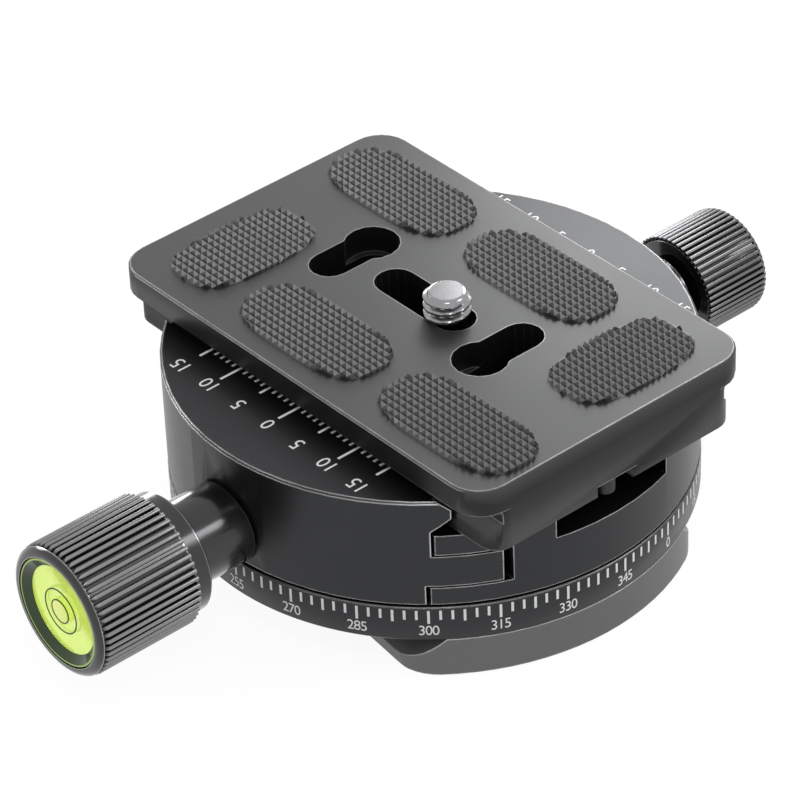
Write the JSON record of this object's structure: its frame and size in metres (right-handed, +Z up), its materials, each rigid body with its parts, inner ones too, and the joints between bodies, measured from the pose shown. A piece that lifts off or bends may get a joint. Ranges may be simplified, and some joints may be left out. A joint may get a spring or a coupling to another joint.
{
  "type": "panoramic tripod base",
  "caption": "Black anodised panning tripod base with a dovetail clamp, quick release plate and degree scale",
  "frame": {"origin": "underside of the foot, on the axis that the body pans about", "axes": "+Z up along the pan axis; +X along the clamp channel; -Y to the clamp knob with the bubble level; +Y to the pan lock knob"},
  "size_m": [0.0712, 0.1162, 0.0366],
  "materials": {
    "anodised": "black anodised, bead blasted",
    "anodised_plate": "charcoal anodised, satin",
    "steel": "turned stainless steel",
    "black_steel": "black oxidised steel",
    "screw_steel": "bright turned stainless steel",
    "spring_wire": "drawn spring wire",
    "brass": "turned brass",
    "nylon": "natural nylon",
    "rubber": "moulded with fine pyramids",
    "level_plastic": "tinted clear plastic",
    "level_fluid": "dyed spirit",
    "level_window": "clear domed window"
  },
  "bodies": {
    "base": {"base_foot": "anodised", "degree_ring": "anodised", "tripod_bush": "steel", "reducer_bush": "brass", "foot_screw_1": "steel", "foot_screw_2": "steel", "foot_screw_3": "steel", "foot_screw_4": "steel", "slide_washer": "nylon", "top_washer": "nylon", "pan_drum": "anodised", "keeper_plate": "steel", "spindle_screw": "steel"},
    "turntable": {"clamp_body": "anodised", "guide_pin_1": "steel", "guide_pin_2": "steel", "pan_neck": "anodised", "jaw_spring_1": "spring_wire", "jaw_spring_2": "spring_wire"},
    "jaw": {"clamp_jaw": "anodised", "clamp_neck": "anodised", "thrust_washer": "nylon"},
    "clamp_drive": {"clamp_knob": "anodised", "clamp_screw": "steel", "level_case": "level_plastic", "level_liquid": "level_fluid", "level_cap": "level_window"},
    "shoe": {"brake_shoe": "brass"},
    "pan_drive": {"pan_knob": "anodised", "pan_screw": "steel"},
    "plate": {"quick_plate": "anodised_plate", "rubber_pad_1": "rubber", "rubber_pad_2": "rubber", "rubber_pad_3": "rubber", "rubber_pad_4": "rubber", "rubber_pad_5": "rubber", "rubber_pad_6": "rubber", "stop_screw_1": "black_steel", "stop_screw_2": "black_steel"},
    "screw_carrier": {"camera_washer": "nylon"},
    "camera_bolt": {"camera_screw": "screw_steel"}
  },
  "joints": [
    {"name": "pan_turn", "type": "hinge", "parent": "base", "child": "turntable", "pos_m": [0, 0, 0], "axis": [0, 0, 1], "continuous": true},
    {"name": "clamp_knob_turn", "type": "hinge", "parent": "jaw", "child": "clamp_drive", "pos_m": [0, -0.0527, 0.0163], "axis": [0, 1, 0], "range_deg": [-990, 122]},
    {"name": "jaw_slide", "type": "slide", "parent": "turntable", "child": "jaw", "axis": [0, 1, 0], "range_m": [-0.0027, 0.0003], "deforming": ["jaw_spring_1", "jaw_spring_2"]},
    {"name": "pan_knob_turn", "type": "hinge", "parent": "shoe", "child": "pan_drive", "pos_m": [0, 0.0487, 0.0145], "axis": [0, -1, 0], "range_deg": [-522, 134]},
    {"name": "shoe_slide", "type": "slide", "parent": "turntable", "child": "shoe", "axis": [0, -1, 0], "range_m": [-0.00099, 0.00024]},
    {"name": "plate_slide", "type": "slide", "parent": "turntable", "child": "plate", "axis": [1, 0, 0], "range_m": [-0.027, 0.027]},
    {"name": "camera_slide", "type": "slide", "parent": "plate", "child": "screw_carrier", "axis": [1, 0, 0], "range_m": [-0.0101, 0.0014]},
    {"name": "camera_spin", "type": "hinge", "parent": "screw_carrier", "child": "camera_bolt", "pos_m": [0.00325, 0.0003, 0.026], "axis": [0, 0, 1], "continuous": true}
  ],
  "couplings": [
    {"joint": "clamp_knob_turn", "follows": "jaw_slide", "rad_per_m": 6283.2},
    {"joint": "pan_knob_turn", "follows": "shoe_slide", "rad_per_m": 8976}
  ]
}
